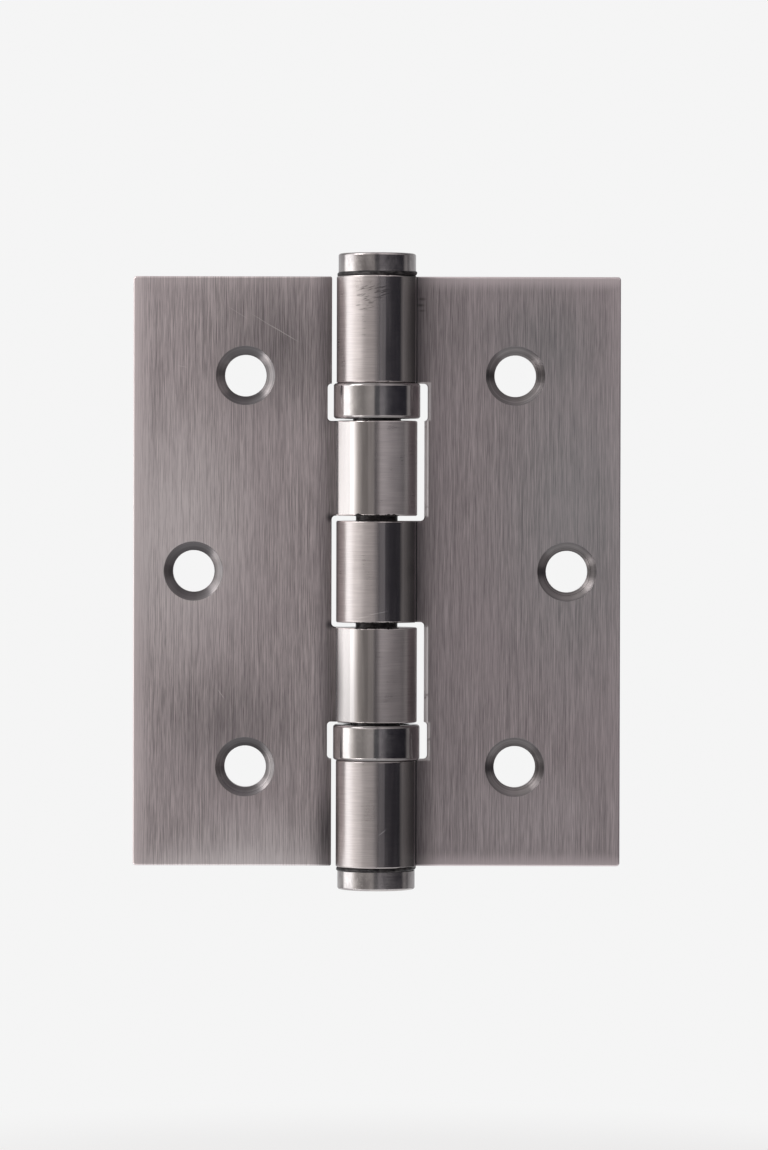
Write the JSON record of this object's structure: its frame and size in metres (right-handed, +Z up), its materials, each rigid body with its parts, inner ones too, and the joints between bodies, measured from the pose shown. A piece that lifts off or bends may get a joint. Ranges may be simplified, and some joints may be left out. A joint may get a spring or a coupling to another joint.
{
  "type": "ball bearing butt hinge",
  "caption": "Steel butt hinge with two countersunk leaves, rolled knuckles on a capped pin and caged ball thrust bearings between the knuckles.",
  "frame": {"origin": "half-way up the hinge pin, on its axis, which is also the middle of the whole hinge", "axes": "+Z up the hinge pin, +X from the pin to the outer edge of the frame leaf, -Y the way the countersunk faces look with the hinge open flat"},
  "size_m": [0.063, 0.0112, 0.0822],
  "materials": {
    "satin_leaf": "satin nickel plate, brushed along the leaf",
    "polished_turned": "turned and lightly polished satin nickel",
    "dark_washer": "dark oiled spring steel",
    "dark_pin": "dark greased steel",
    "bearing_steel": "ground and polished hardened steel",
    "cage_brass": "pressed brass"
  },
  "bodies": {
    "frame_side": {"frame_leaf": "satin_leaf", "hinge_pin": "dark_pin", "top_cap": "polished_turned", "bottom_cap": "polished_turned", "top_cap_washer": "dark_washer", "bottom_cap_washer": "dark_washer", "upper_bearing_shell": "polished_turned", "upper_fixed_race": "bearing_steel", "lower_bearing_shell": "polished_turned", "lower_fixed_race": "bearing_steel"},
    "door_side": {"door_leaf": "satin_leaf", "upper_moving_race": "bearing_steel", "lower_moving_race": "bearing_steel"},
    "upper_ball_set": {"upper_ball_cage": "cage_brass", "upper_ball_01": "bearing_steel", "upper_ball_02": "bearing_steel", "upper_ball_03": "bearing_steel", "upper_ball_04": "bearing_steel", "upper_ball_05": "bearing_steel", "upper_ball_06": "bearing_steel", "upper_ball_07": "bearing_steel", "upper_ball_08": "bearing_steel", "upper_ball_09": "bearing_steel", "upper_ball_10": "bearing_steel", "upper_ball_11": "bearing_steel", "upper_ball_12": "bearing_steel"},
    "lower_ball_set": {"lower_ball_cage": "cage_brass", "lower_ball_01": "bearing_steel", "lower_ball_02": "bearing_steel", "lower_ball_03": "bearing_steel", "lower_ball_04": "bearing_steel", "lower_ball_05": "bearing_steel", "lower_ball_06": "bearing_steel", "lower_ball_07": "bearing_steel", "lower_ball_08": "bearing_steel", "lower_ball_09": "bearing_steel", "lower_ball_10": "bearing_steel", "lower_ball_11": "bearing_steel", "lower_ball_12": "bearing_steel"}
  },
  "joints": [
    {"name": "leaf_swing", "type": "hinge", "parent": "frame_side", "child": "door_side", "pos_m": [0, 0, 0], "axis": [0, 0, 1], "range_deg": [-115, 180]},
    {"name": "upper_ball_roll", "type": "hinge", "parent": "frame_side", "child": "upper_ball_set", "pos_m": [0, 0, 0], "axis": [0, 0, 1], "range_deg": [-57.5, 90]},
    {"name": "lower_ball_roll", "type": "hinge", "parent": "frame_side", "child": "lower_ball_set", "pos_m": [0, 0, 0], "axis": [0, 0, 1], "range_deg": [-57.5, 90]}
  ],
  "couplings": [
    {"joint": "upper_ball_roll", "follows": "leaf_swing", "ratio": 0.5},
    {"joint": "lower_ball_roll", "follows": "leaf_swing", "ratio": 0.5}
  ]
}
